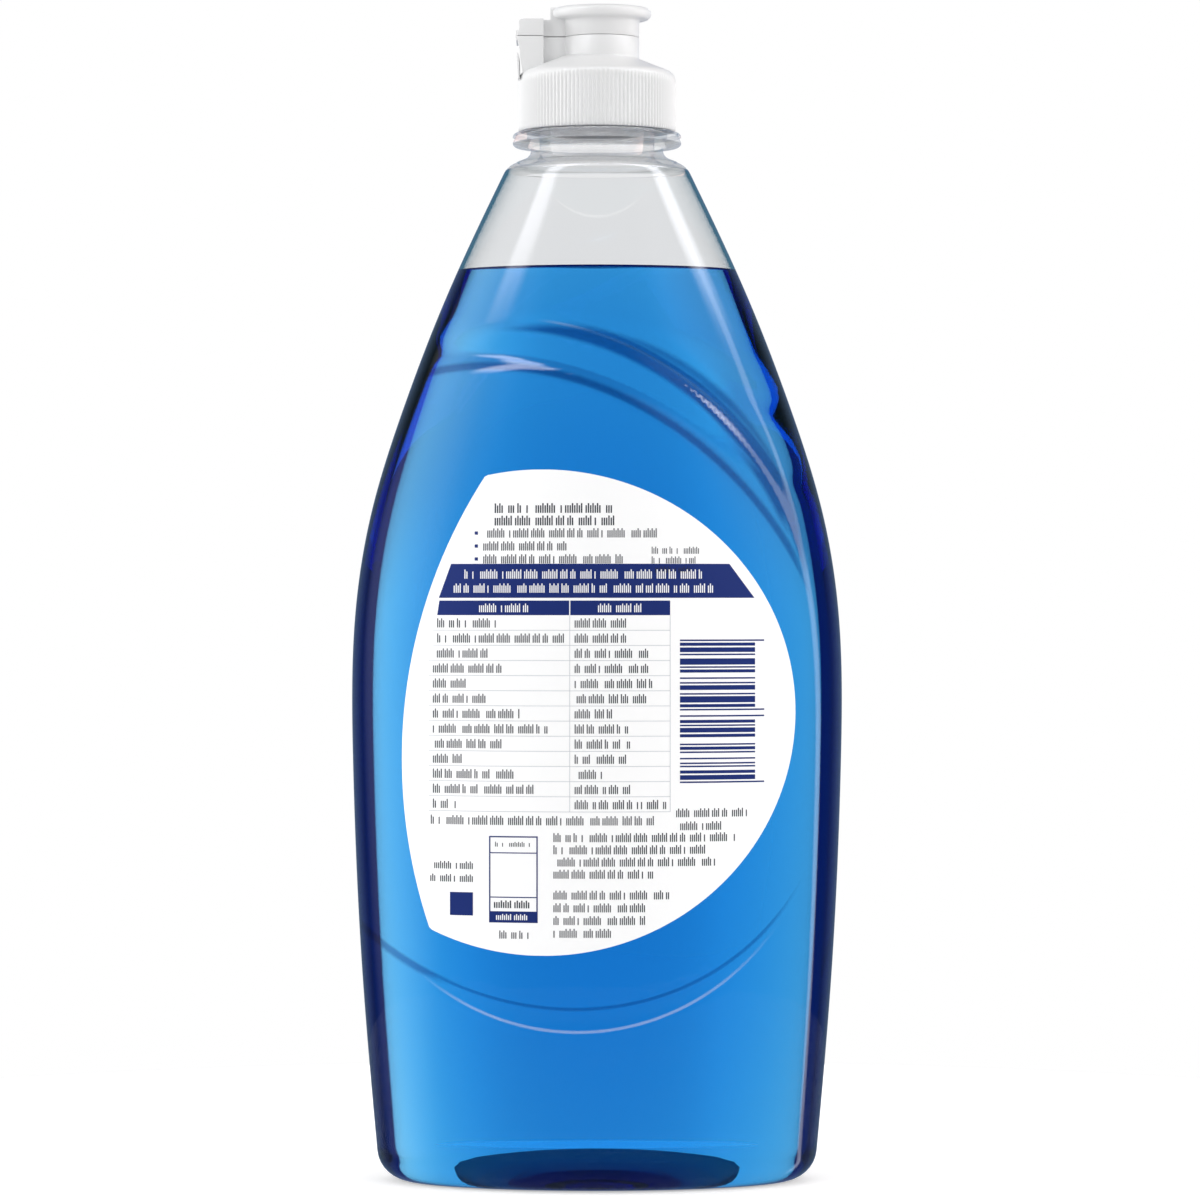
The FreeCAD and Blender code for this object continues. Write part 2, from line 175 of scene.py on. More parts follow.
def quarter(count):
    """Turns that part a quarter of a circle."""
    return np.linspace(0, math.pi / 2, count)


def body_rows(inset, low, low_corner, high, high_corner, spacing):
    """Rows from a low plane up to a high one, with both edges rounded."""
    rows = []
    for turn in quarter(9)[:-1]:
        height = low + low_corner * (1 - math.cos(turn))
        back = inset + low_corner * (1 - math.sin(turn))
        rows.append((half_width(height) - back, half_depth(height) - back, height, 1.0))
    for height in np.linspace(low + low_corner, high - high_corner,
                              int((high - high_corner - low - low_corner) / spacing) + 1):
        rows.append((half_width(height) - inset, half_depth(height) - inset, height, 1.0))
    for turn in quarter(7)[1:]:
        height = high - high_corner * (1 - math.sin(turn))
        back = inset + high_corner * (1 - math.cos(turn))
        rows.append((half_width(height) - back, half_depth(height) - back, height, 0.0))
    return rows


# The middle of the base is pushed up as an oval dome: its half width, half depth and
# height.
PUSH_UP = (29.0, 16.0, 6.0)


def dome_rows(grow, edge):
    """Rows of the raised middle of the base, from its top out to its rim."""
    wide, deep, high = (size + grow for size in PUSH_UP)
    return [(wide * math.sin(turn), deep * math.sin(turn), high * math.cos(turn), 0.0)
            for turn in quarter(14) if high * math.cos(turn) > edge]


def woven(name, grid, loop=False, sharp=40):
    """A mesh over a grid of points in millimetres, closed round its columns."""
    rows, columns = grid.shape[:2]
    index = np.arange(rows * columns).reshape(rows, columns)
    lower = index if loop else index[:-1]
    upper = np.roll(index, -1, axis=0) if loop else index[1:]
    faces = np.stack([lower, np.roll(lower, -1, axis=1), np.roll(upper, -1, axis=1), upper],
                     axis=-1)
    mesh = bpy.data.meshes.new(name)
    mesh.from_pydata((grid.reshape(-1, 3) * MM).tolist(), [], faces.reshape(-1, 4).tolist())
    welded = bmesh.new()
    welded.from_mesh(mesh)
    bmesh.ops.remove_doubles(welded, verts=welded.verts, dist=1e-7)
    welded.to_mesh(mesh)
    welded.free()
    mesh.shade_smooth()
    mesh.set_sharp_from_angle(angle=math.radians(sharp))
    piece = bpy.data.objects.new(name, mesh)
    bpy.context.scene.collection.objects.link(piece)
    return piece


def round_rows(profile, columns=ROUND):
    """Points round each (radius, height) of a turned profile."""
    return oval_rows([(radius, radius, height, 0.0) for radius, height in profile], columns)


def material(name, **settings):
    """A material with one principled shader, its sockets set by name."""
    made = bpy.data.materials.new(name)
    made.use_nodes = True
    shader = made.node_tree.nodes["Principled BSDF"]
    for socket, value in settings.items():
        shader.inputs[socket.replace("_", " ")].default_value = value
    return made


def arithmetic(tree, operation, first, second):
    """A sum, product or other step on two numbers or sockets."""
    node = tree.nodes.new("ShaderNodeMath")
    node.operation = operation
    for socket, value in zip(node.inputs, (first, second)):
        if isinstance(value, (int, float)):
            socket.default_value = value
        else:
            tree.links.new(value, socket)
    return node.outputs["Value"]


def rising(tree, value, low, high):
    """A smooth step from 0 at the low value to 1 at the high one."""
    node = tree.nodes.new("ShaderNodeMapRange")
    node.interpolation_type = "SMOOTHSTEP"
    node.inputs["From Min"].default_value = low
    node.inputs["From Max"].default_value = high
    tree.links.new(value, node.inputs["Value"])
    return node.outputs["Result"]


def band(tree, value, start, full, fading, end):
    """A soft band: 0 outside its start and end, 1 between full and fading."""
    falling = arithmetic(tree, "SUBTRACT", 1.0, rising(tree, value, fading, end))
    return arithmetic(tree, "MULTIPLY", rising(tree, value, start, full), falling)


def vector_step(tree, operation, vector, constant):
    """One step on a vector with a constant second vector."""
    node = tree.nodes.new("ShaderNodeVectorMath")
    node.operation = operation
    node.inputs[1].default_value = constant
    tree.links.new(vector, node.inputs[0])
    return node.outputs["Value" if operation in ("DISTANCE", "DOT_PRODUCT") else "Vector"]


# The panel's mean half width, which turns its share into millimetres.
PANEL_MEAN = 58.0


def painted_flute_light(tree):
    """Two shares for the labelled side: painted shade along the steep edges of the flutes, which
    would turn the light away, and a painted highlight along the thin rims, which would catch it."""
    place = tree.nodes.new("ShaderNodeTexCoord").outputs["Object"]
    flat = vector_step(tree, "MULTIPLY", place, (1 / MM, 0, 1 / MM))
    height = vector_step(tree, "DOT_PRODUCT", flat, (0, 0, 1))
    right = vector_step(tree, "DOT_PRODUCT", flat, (1, 0, 0))
    ridge, crest, sweep = (
        arithmetic(tree, "SUBTRACT",
                   vector_step(tree, "DISTANCE", flat, (middle, 0, centre)), radius)
        for middle, centre, radius in (RIDGE_LINE, CREST_LINE, SWEEP_LINE))
    oval = tree.nodes.new("ShaderNodeMapping")
    oval.vector_type = "TEXTURE"
    oval.inputs["Location"].default_value = (PANEL_MIDDLE, 0, PANEL_HEIGHT)
    oval.inputs["Rotation"].default_value = (0, -PANEL_TILT, 0)
    oval.inputs["Scale"].default_value = (PANEL_ACROSS, 1, PANEL_ALONG)
    tree.links.new(flat, oval.inputs["Vector"])
    share = vector_step(tree, "DISTANCE", oval.outputs["Vector"], (0, 0, 0))
    panel = arithmetic(tree, "MULTIPLY", arithmetic(tree, "SUBTRACT", share, 1.0), PANEL_MEAN)
    # Each painted mark has a strength, a band along its mould line and a band that ends it.
    # Painted shade: dark bands along the steep flute edges.
    painted_shades = [
        (0.85, band(tree, panel, -0.5, 0.3, 0.9, 1.9), band(tree, ridge, -40, -30, -1.5, 0.5)),
        (0.7, band(tree, panel, -0.1, 0.2, 0.4, 0.9), band(tree, sweep, -40, -30, -1.5, 0.5)),
        (0.95, band(tree, ridge, -0.8, 0.3, 2.8, 4.0), band(tree, crest, -40, -30, -2.5, -0.5)),
        (0.8, band(tree, crest, -4.6, -3.0, -2.4, -1.2), band(tree, ridge, 1.0, 4.0, 90, 99)),
        (0.95, band(tree, ridge, -1.8, -0.6, 0.4, 1.4), band(tree, height, 121, 127, 133, 140)),
    ]
    # Painted highlight: pale lines along the thin rims of the flutes.
    painted_highlights = [
        (0.3, arithmetic(tree, "MULTIPLY", band(tree, ridge, 1.7, 2.0, 2.2, 2.5),
                         band(tree, right, -14, -6, 20, 30)), band(tree, crest, -40, -30, -3, 0)),
        (0.2, band(tree, sweep, -0.4, -0.1, 0.1, 0.4), band(tree, panel, 1.0, 4.0, 30, 40)),
    ]
    forward = vector_step(tree, "DOT_PRODUCT", place, (0, -1 / MM, 0))
    labelled_side = rising(tree, forward, 0.0, 1.0)
    marks = []
    for parts in (painted_shades, painted_highlights):
        total = 0.0
        for weight, along, across in parts:
            share = arithmetic(tree, "MULTIPLY", along, across)
            total = arithmetic(tree, "MAXIMUM", total, arithmetic(tree, "MULTIPLY", share, weight))
        marks.append(arithmetic(tree, "MULTIPLY", total, labelled_side))
    return marks


DOME_RIM = 0.35
OUTER_SPACING = 1.0
outside = dome_rows(0.0, DOME_RIM)
outside += body_rows(0.0, 0.0, FOOT_CORNER, COLLAR, COLLAR_CORNER, OUTER_SPACING)

# Neck: a hollow curve up from the shoulder, by radius and rise over the collar, then the
# ring that carries the bottle on the filling line, the barrel and a rounded lip.
NECK_RADIUS = 12.54
NECK_BORE = 10.9
NECK_TOP = 208.8
RING_RADIUS = 16.0
RING_BOTTOM = 196.0
RING_TOP = 198.6
COLLAR_CURVE = ((15.2, 0.1), (14.2, 0.45), (13.3, 0.9), (12.75, 1.5), (NECK_RADIUS, 2.2))
RING_ROOT = 0.15
RING_CORNER = 0.75
LIP_CORNER = 0.4
neck = [(radius, COLLAR + rise) for radius, rise in COLLAR_CURVE]
neck += [(NECK_RADIUS, RING_BOTTOM - RING_ROOT), (NECK_RADIUS + RING_ROOT, RING_BOTTOM)]
neck += [(RING_RADIUS - RING_CORNER * (1 - math.sin(turn)),
          RING_BOTTOM + RING_CORNER * (1 - math.cos(turn))) for turn in quarter(6)]
neck += [(RING_RADIUS - RING_CORNER * (1 - math.cos(turn)),
          RING_TOP - RING_CORNER * (1 - math.sin(turn))) for turn in reversed(quarter(6))]
neck += [(NECK_RADIUS + RING_ROOT, RING_TOP), (NECK_RADIUS, RING_TOP + RING_ROOT)]
thread_rows = [(NECK_RADIUS, height) for height in np.linspace(RING_TOP + 0.5, NECK_TOP - 0.5, 32)]
lip = [(NECK_RADIUS - LIP_CORNER * (1 - math.cos(turn)),
        NECK_TOP - LIP_CORNER * (1 - math.sin(turn))) for turn in quarter(4)]
lip += [(NECK_BORE + LIP_CORNER * (1 - math.sin(turn)),
         NECK_TOP - LIP_CORNER * (1 - math.cos(turn))) for turn in quarter(4)]
bore = [(NECK_BORE, height) for height in np.linspace(NECK_TOP - 1, COLLAR + 1.2, 8)]
BORE_FLARE = ((11.4, 0.3), (12.6, -0.3), (13.8, -0.65))
bore += [(radius, COLLAR + rise) for radius, rise in BORE_FLARE]

# Inner face: it follows the outside and its flutes at one wall thickness, over a thicker
# floor.
WALL = 0.8
FLOOR_THICKNESS = 1.2
INNER_DOME_RIM = 0.2
INNER_SPACING = 1.6


def inner_rows(gap):
    """Rows of the wall's inner face, or of a skin a small gap further out."""
    low = FLOOR_THICKNESS - gap
    inset = WALL - gap
    return (dome_rows(low, low + INNER_DOME_RIM)
            + body_rows(inset, low, FOOT_CORNER - inset, COLLAR - inset, COLLAR_CORNER - inset,
                        INNER_SPACING))


inside = inner_rows(0.0)[::-1]

# Screw thread: one ridge that climbs the barrel and runs out softly at both ends.
THREAD_PITCH = 4.23
THREAD_DEPTH = 1.21
THREAD_START = 200.6
THREAD_TURNS = 1.4
THREAD_HALF = 1.25
THREAD_FLANK = 0.7
THREAD_RUN_OUT = 0.06


def thread_height(grid):
    """Raises the screw thread on the neck's rows."""
    turn = np.arctan2(grid[..., 1], grid[..., 0]) % (2 * math.pi) / (2 * math.pi)
    lift = np.zeros(grid.shape[:2])
    for lap in range(math.ceil(THREAD_TURNS) + 1):
        along = turn + lap
        middle = THREAD_START + THREAD_PITCH * along
        near = np.clip((THREAD_HALF - np.abs(grid[..., 2] - middle)) / THREAD_FLANK, 0, 1)
        ends = (np.clip(along / THREAD_RUN_OUT, 0, 1)
                * np.clip((THREAD_TURNS - along) / THREAD_RUN_OUT, 0, 1))
        lift = np.maximum(lift, THREAD_DEPTH * near * ends)
    radius = np.hypot(grid[..., 0], grid[..., 1])
    grid[..., :2] *= ((radius + lift) / radius)[..., None]
    return grid


bottle_grid = np.concatenate([
    oval_rows(outside),
    round_rows(neck),
    thread_height(round_rows(thread_rows)),
    round_rows(lip + bore),
    oval_rows(inside),
])
bottle = woven("blown_bottle", bottle_grid, sharp=50)

# The plastic has three finishes: in air, where the soap wets it and takes its gloss
# away, and at the neck, which is paler and lets most of the light straight through.
POLYESTER_TINT = (0.98, 0.985, 0.99, 1)
# Navy painted shade, mixed into the clear plastic's colour along the flute edges.
PAINTED_FLUTE_SHADE = (0.003, 0.1, 0.27, 1)
WETTED_GLOSS = (0.05, 0.08, 0.12, 1)
FILL = 171.8
PALE_NECK_FROM = COLLAR - 1.5

clear_plastic = material("clear_polyester", Roughness=0.0, IOR=1.5)
clear_tree = clear_plastic.node_tree
clear_shader = clear_tree.nodes["Principled BSDF"]
# The flute marks are painted light: painted shade mixed into the base colour along the steep flute
# edges, and a painted highlight where the clear part is thinned along the rims.
painted_flute_shade, painted_rim_highlight = painted_flute_light(clear_tree)
shade_painting = clear_tree.nodes.new("ShaderNodeMix")
shade_painting.data_type = "RGBA"
shade_painting.inputs["A"].default_value = POLYESTER_TINT
shade_painting.inputs["B"].default_value = PAINTED_FLUTE_SHADE
clear_tree.links.new(painted_flute_shade, shade_painting.inputs["Factor"])
clear_tree.links.new(shade_painting.outputs["Result"], clear_shader.inputs["Base Color"])
# Painted highlight: less transmission along the rims lets the pale base colour show as a light
# line.
clear_tree.links.new(arithmetic(clear_tree, "SUBTRACT", 1.0, painted_rim_highlight),
                     clear_shader.inputs["Transmission Weight"])
wetted_plastic = material("wetted_polyester", Base_Color=POLYESTER_TINT, Roughness=0.0,
                          IOR=1.5, Transmission_Weight=1.0, Specular_Tint=WETTED_GLOSS)
neck_plastic = material("neck_polyester", Base_Color=POLYESTER_TINT, Roughness=0.0,
                        IOR=1.22, Transmission_Weight=1.0, Alpha=0.4)
for plastic in (clear_plastic, wetted_plastic, neck_plastic):
    bottle.data.materials.append(plastic)
row_heights = bottle_grid[:-1, 0, 2]
row_inside = np.arange(len(row_heights)) >= len(bottle_grid) - len(inside)
plastics = np.where(row_inside & (row_heights <= FILL), 1,
                    np.where(row_heights > PALE_NECK_FROM, 2, 0))
bottle.data.polygons.foreach_set("material_index", np.repeat(plastics, ROUND))
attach(bottle, "bottle")
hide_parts("bottle")

# Dish soap: a clear blue liquid that fills the bottle to about 20 mm under the neck.
# It wets the wall, so its skin lies just inside the wall's inner face, and its
# surface climbs a little where it meets the wall.
WETTING = 0.1
# The raised rim at the wall, by its distance from the wall, rise and share of the flutes.
RIM_CURVE = ((0.0, 0.6, 1.0), (0.35, 0.25, 1.0), (0.9, 0.06, 0.5), (2.0, 0.0, 0.0))
soap_rows = [row for row in inner_rows(WETTING) if row[2] < FILL]
rim_width = half_width(FILL + 0.5) - WALL + WETTING
rim_depth = half_depth(FILL + 0.5) - WALL + WETTING
soap_rows += [(rim_width - back, rim_depth - back, FILL + rise, share)
              for back, rise, share in RIM_CURVE]
soap_rows += [(rim_width / 2, rim_depth / 2, FILL, 0.0), (0.0, 0.0, FILL, 0.0)]
soap = woven("soap", oval_rows(soap_rows), sharp=50)
SOAP_BLUE = (0.0, 0.68, 0.94, 1)
SOAP_DENSITY = 86.0
blue_soap = material("blue_soap", Base_Color=(1, 1, 1, 1), Roughness=0.0, IOR=1.36,
                     Transmission_Weight=1.0, Specular_Tint=WETTED_GLOSS)
soaking = blue_soap.node_tree.nodes.new("ShaderNodeVolumeAbsorption")
soaking.inputs["Color"].default_value = SOAP_BLUE
soaking.inputs["Density"].default_value = SOAP_DENSITY
blue_soap.node_tree.links.new(soaking.outputs["Volume"],
                              blue_soap.node_tree.nodes["Material Output"].inputs["Volume"])
soap.data.materials.append(blue_soap)
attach(soap, "bottle")
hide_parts("dish_soap")

# Back label: one white film stuck on the panel, an oval with its left side cut to a
# flatter arc. The print is plain: navy bars, thin rules, a block of level bars and rows
# of short upright ticks.
LABEL_FRONT = 0.11
LABEL_REAR = 0.02
LABEL_MIDDLE = -10.25
LABEL_HEIGHT = 89.25
LABEL_HALF_WIDTH = 47.2
LABEL_HALF_HEIGHT = 44.9
CUT_MIDDLE = 60.0
CUT_HEIGHT = 80.4
CUT_RADIUS = 96.3


def on_body(x, z, out):
    """Points on the labelled side, lifted off the body by a distance."""
    wide = half_width(z)
    deep = half_depth(z)
    share = np.clip(x / wide, -1, 1)
    y = -deep * np.sqrt(1 - share ** 2)
    facing = np.stack([x / wide ** 2, y / deep ** 2, np.zeros_like(x)], axis=-1)
    facing /= np.linalg.norm(facing, axis=-1, keepdims=True)
    return np.stack([x, y, z], axis=-1) + facing * np.asarray(out)[..., None]


def label_ends(z):
    """Left and right end of the label at a height."""
    rise = (z - LABEL_HEIGHT) / LABEL_HALF_HEIGHT
    reach = LABEL_HALF_WIDTH * np.sqrt(np.clip(1 - rise ** 2, 0, 1))
    cut = CUT_MIDDLE - np.sqrt(CUT_RADIUS ** 2 - (z - CUT_HEIGHT) ** 2)
    return np.maximum(LABEL_MIDDLE - reach, cut), LABEL_MIDDLE + reach


TIP = 0.02
label_turns = np.linspace(0, math.pi, 121)
label_heights = LABEL_HEIGHT - (LABEL_HALF_HEIGHT - TIP) * np.cos(label_turns)
label_left, label_right = label_ends(label_heights)
shares = np.linspace(0, 1, 81)
label_x = label_left[:, None] + (label_right - label_left)[:, None] * shares
label_z = np.repeat(label_heights[:, None], len(shares), axis=1)
front = on_body(label_x, label_z, np.full(label_x.shape, LABEL_FRONT))
back = on_body(label_x, label_z, np.full(label_x.shape, LABEL_REAR))
label_grid = np.concatenate([front, back[:, ::-1]], axis=1)
label = woven("label_film", label_grid, sharp=50)
ends = bmesh.new()
ends.from_mesh(label.data)
bmesh.ops.holes_fill(ends, edges=[edge for edge in ends.edges if edge.is_boundary])
bmesh.ops.recalc_face_normals(ends, faces=ends.faces)
ends.to_mesh(label.data)
ends.free()
label_white = material("label_white", Base_Color=(0.96, 0.962, 0.965, 1), Roughness=0.35)
label.data.materials.append(label_white)
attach(label, "bottle")
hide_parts("back_label")

# Print: thin flat fields of ink on the label film, in navy, grey, white and black. They
# come in order from the top of the label down, as left, low, right and high edges.
print_points = []
print_faces = []
print_inks = []
NAVY, GREY, WHITE, BLACK = range(4)
PRINT_LIFT = 0.13
WHITE_LIFT = PRINT_LIFT + 0.02
FIELD_STEP_ACROSS = 1.5
FIELD_STEP_UP = 2.0


def printed(left, low, right, high, ink=NAVY, left_high=None, right_high=None):
    """One printed field between two heights, its sides straight or slanted."""
    left_high = left if left_high is None else left_high
    right_high = right if right_high is None else right_high
    across = int(abs(right - left) / FIELD_STEP_ACROSS) + 2
    upward = int(abs(high - low) / FIELD_STEP_UP) + 2
    share_z = np.linspace(0, 1, upward)[:, None]
    share_x = np.linspace(0, 1, across)[None, :]
    lefts = left + (left_high - left) * share_z
    rights = right + (right_high - right) * share_z
    x = lefts + (rights - lefts) * share_x
    z = np.repeat(low + (high - low) * share_z, across, axis=1)
    lift = WHITE_LIFT if ink == WHITE else PRINT_LIFT
    points = on_body(x, z, np.full(x.shape, lift)).reshape(-1, 3)
    first = len(print_points)
    print_points.extend((points * MM).tolist())
    for row in range(upward - 1):
        for column in range(across - 1):
            corner = first + row * across + column
            print_faces.append((corner, corner + 1, corner + across + 1, corner + across))
            print_inks.append(ink)


GROUPS = (9, 5, 14, 8, 17, 4, 11, 13, 6)
TICK_GAP = 0.17
FINE = 0.16
PLAIN = 0.2
BOLD = 0.25


def tick_row(left, right, middle, height=1.6, ink=BLACK, seed=0, weight=PLAIN):
    """A row of upright ticks of two heights, in groups with a few ticks left out."""
    pitch = weight + TICK_GAP
    at = left
    number = seed
    while at < right - pitch:
        for tick in range(GROUPS[number % len(GROUPS)]):
            if at > right - weight:
                break
            # Tall, short and missing ticks take turns in a fixed mixed order.
            kind = (tick * 7 + number * 3) % 11
            if kind not in (2, 6):
                top = 0.5 if kind in (0, 3, 8) else 0.28
                printed(at, middle - height * 0.5, at + weight, middle + height * top, ink)
            at += pitch
        at += pitch
        number += 1


# Heading rows, three rows with dots, three short rows, and the navy banner.
tick_row(-18.9, 3.1, 127.0, 1.8, seed=0, weight=BOLD)
tick_row(-18.9, 3.5, 124.7, 1.8, seed=3, weight=BOLD)
DOT_LEFT = -22.6
DOT = 0.6
for number, (height, right) in enumerate([(122.4, 11.2), (120.0, -5.6), (117.6, 5.0)]):
    printed(DOT_LEFT, height - DOT / 2, DOT_LEFT + DOT, height + DOT / 2)
    tick_row(-21.0, right, height, 1.7, seed=number + 2)
for number, height in enumerate([119.2, 117.4, 115.6]):
    tick_row(10.1, 19.5 - number, height, 1.3, seed=number, weight=FINE)
printed(-29.3, 110.4, 29.2, 116.7, NAVY, -27.0, 24.5)
tick_row(-24.5, 20.0, 114.8, 1.7, WHITE, seed=1)
tick_row(-26.5, 22.5, 112.2, 1.7, WHITE, seed=5)

# Table of two columns under a navy heading.
TABLE_LEFT = -31.2
TABLE_RIGHT = 13.5
TABLE_SPLIT = -5.0
TABLE_TOP = 107.2
HEADING_TOP = 109.9
HEADING_MIDDLE = 108.55
ROW_STEP = 2.79
HAIRLINE = 0.06
LEFT_ENDS = (-18.0, -6.0, -20.0, -17.5, -24.0, -20.5, -14.0, -9.0, -17.5, -25.0, -15.0, -11.5,
             -26.0)
RIGHT_ENDS = (6.0, 6.2, 9.9, 9.5, 10.4, 9.2, 2.8, 5.9, 6.1, 6.2, 1.2, 6.4, 12.8)
printed(-29.6, TABLE_TOP, TABLE_SPLIT - 0.1, HEADING_TOP, NAVY, -29.2)
printed(TABLE_SPLIT + 0.1, TABLE_TOP, TABLE_RIGHT, HEADING_TOP)
tick_row(-22.5, -12.5, HEADING_MIDDLE, 1.6, WHITE, seed=2)
tick_row(0.2, 8.2, HEADING_MIDDLE, 1.6, WHITE, seed=4)
for row, (left_end, right_end) in enumerate(zip(LEFT_ENDS, RIGHT_ENDS)):
    low = TABLE_TOP - (row + 1) * ROW_STEP
    left = TABLE_LEFT if row > 1 else TABLE_LEFT + 0.8
    printed(left, low - HAIRLINE, TABLE_RIGHT, low + HAIRLINE, GREY)
    tick_row(left + 0.8, left_end, low + 1.35, 1.7, seed=row)
    tick_row(TABLE_SPLIT + 0.9, right_end, low + 1.35, 1.7, seed=row + 3)
table_low = TABLE_TOP - len(LEFT_ENDS) * ROW_STEP
for line in (TABLE_SPLIT, TABLE_RIGHT):
    printed(line - HAIRLINE, table_low, line + HAIRLINE, TABLE_TOP, GREY)

# Block of level bars beside the table, with every second width of the pattern inked.
BAR_LEFT = 15.3
BAR_RIGHT = 29.3
LONG_BAR_RIGHT = 31.0
BAR_TOP = 102.7
BAR_BLOCK_HEIGHT = 26.5
BAR_PATTERN = (1, 1, 2, 1, 3, 1, 1, 2, 4, 1, 1, 1, 2, 3, 1, 2, 1, 1, 3, 2, 1, 1, 4, 1, 2, 1, 1, 3,
               1, 2, 2, 1, 1, 1, 3, 1, 2, 4, 1, 1, 2, 1, 1, 3, 1, 2, 1, 1, 1, 2, 2, 1, 3, 1, 1)
LONG_BARS = (0, 26, 28, 54)
unit = BAR_BLOCK_HEIGHT / sum(BAR_PATTERN)
at = BAR_TOP
for number, width in enumerate(BAR_PATTERN):
    if number % 2 == 0:
        end = LONG_BAR_RIGHT if number in LONG_BARS else BAR_RIGHT
        printed(BAR_LEFT, at - width * unit, end, at)
    at -= width * unit

# Rows under the table, the small square and the framed box with its two bands.
tick_row(-30.8, 10.8, 69.3, 1.7, seed=1)
tick_row(14.6, 28.8, 70.7, 1.6, seed=4)
tick_row(14.6, 23.0, 68.3, 1.6, seed=2)
tick_row(-30.9, -22.8, 60.9, 1.4, seed=2)
tick_row(-30.9, -22.6, 58.5, 1.4, seed=6)
printed(-27.2, 51.6, -22.9, 55.9)
BOX_LEFT = -19.9
BOX_RIGHT = -10.9
BOX_LOW = 50.4
BOX_HIGH = 66.4
FRAME = 0.25
for left, low, right, high in ((BOX_LEFT, BOX_LOW, BOX_LEFT + FRAME, BOX_HIGH),
                               (BOX_RIGHT - FRAME, BOX_LOW, BOX_RIGHT, BOX_HIGH),
                               (BOX_LEFT, BOX_HIGH - FRAME, BOX_RIGHT, BOX_HIGH),
                               (BOX_LEFT, BOX_HIGH - 3.2, BOX_RIGHT, BOX_HIGH - 3.0),
                               (BOX_LEFT, BOX_LOW + 4.6, BOX_RIGHT, BOX_LOW + 4.8),
                               (BOX_LEFT, BOX_LOW, BOX_RIGHT, BOX_LOW + 2.1)):
    printed(left, low, right, high)
tick_row(-18.8, -11.8, 64.9, 0.9, seed=1, weight=FINE)
tick_row(-19.0, -11.9, 53.8, 1.4, seed=3, weight=BOLD)
tick_row(-18.6, -12.0, 51.45, 1.1, WHITE, seed=3)
for number, right in enumerate((25.6, 20.2, 22.0, 10.5)):
    tick_row(-8.0, right, 66.2 - 2.25 * number, 1.65, seed=number)
for number, right in enumerate((13.5, 9.0, 9.2, 3.6)):
    tick_row(-8.0, right, 55.6 - 2.35 * number, 1.65, seed=number + 4)
tick_row(-18.0, -11.4, 48.2, 1.5, seed=0)

print_mesh = bpy.data.meshes.new("label_print")
print_mesh.from_pydata(print_points, [], print_faces)
print_mesh.polygons.foreach_set("material_index", print_inks)
print_mesh.shade_smooth()
label_print = bpy.data.objects.new("label_print", print_mesh)
bpy.context.scene.collection.objects.link(label_print)
for ink, colour in (("navy_ink", (0.006, 0.022, 0.16, 1)), ("grey_ink", (0.6, 0.62, 0.66, 1)),
                    ("white_ink", (0.9, 0.9, 0.92, 1)), ("black_ink", (0.02, 0.022, 0.04, 1))):
    label_print.data.materials.append(material(ink, Base_Color=colour, Roughness=0.35))
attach(label_print, "bottle")

# Closure: one moulding of translucent white polypropylene that screws on the neck. A
# skirt with fine ribs carries a sloping shoulder, a tower and a spout with a small hole.
# A ring under the deck plugs the neck.
SKIRT_BOTTOM = 198.9
SHOULDER_EDGE = 209.87
SKIRT_RADIUS = 14.93
CLOSURE_BORE = 14.05
DECK = 208.9
PARTING = 216.7
TOWER_X = 0.8
RIBS = 120
RIB_DEPTH = 0.25
RIB_FADE = 1.2
SHOULDER_CORNER = 2.0
SLOPE = math.radians(22)
CHIMNEY_RADIUS = 5.6
PLUG_BORE = 9.65
PLUG_RADIUS = 10.55
PLUG_REACH = 3.2

closure_plastic = material("closure_polypropylene", Base_Color=(0.77, 0.772, 0.775, 1),
                           Roughness=0.35, IOR=1.49)


def dressed(piece, body, *stands_for):
    """Gives a closure piece its plastic and body, and hides the parts it stands for."""
    piece.data.materials.append(closure_plastic)
    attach(piece, body)
    if stands_for:
        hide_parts(*stands_for)


corner_radius = SKIRT_RADIUS - SHOULDER_CORNER
corner_height = SHOULDER_EDGE - SHOULDER_CORNER * math.tan(math.pi / 4 - SLOPE / 2)
skirt_profile = [(SKIRT_RADIUS - 0.2, SKIRT_BOTTOM), (SKIRT_RADIUS, SKIRT_BOTTOM + 0.2)]
skirt_profile += [(SKIRT_RADIUS, height)
                  for height in np.linspace(SKIRT_BOTTOM + 1, corner_height - 0.6, 6)]
skirt_profile += [(corner_radius + SHOULDER_CORNER * math.cos(turn),
                   corner_height + SHOULDER_CORNER * math.sin(turn))
                  for turn in np.linspace(0, math.pi / 2 - SLOPE, 10)]
ribbed_rows = len(skirt_profile)
edge_radius, edge_height = skirt_profile[-1]
skirt_profile += [(radius, edge_height + (edge_radius - radius) * math.tan(SLOPE))
                  for radius in (12.0, 10.0, 8.0, 6.2)]
cone_top = skirt_profile[-1][1]

# Down through the chimney, round the plug ring, out along the deck and down the bore.
skirt_profile += [(CHIMNEY_RADIUS, cone_top - 0.4), (CHIMNEY_RADIUS, 212.2), (PLUG_BORE, 210.4),
                  (PLUG_BORE, DECK - PLUG_REACH + 0.2), (PLUG_BORE + 0.25, DECK - PLUG_REACH),
                  (PLUG_RADIUS - 0.25, DECK - PLUG_REACH), (PLUG_RADIUS, DECK - PLUG_REACH + 0.3),
                  (PLUG_RADIUS, DECK - 0.2), (PLUG_RADIUS + 0.2, DECK), (CLOSURE_BORE - 0.25, DECK),
                  (CLOSURE_BORE, DECK - 0.3)]
skirt_profile += [(CLOSURE_BORE, height) for height in np.linspace(DECK - 1, SKIRT_BOTTOM + 0.4, 6)]
skirt_profile += [(CLOSURE_BORE + 0.2, SKIRT_BOTTOM)]
columns = RIBS * 4
skirt_grid = round_rows(skirt_profile, columns)
rib_wave = (1 - np.cos(np.arange(columns) * 2 * math.pi / 4)) / 2
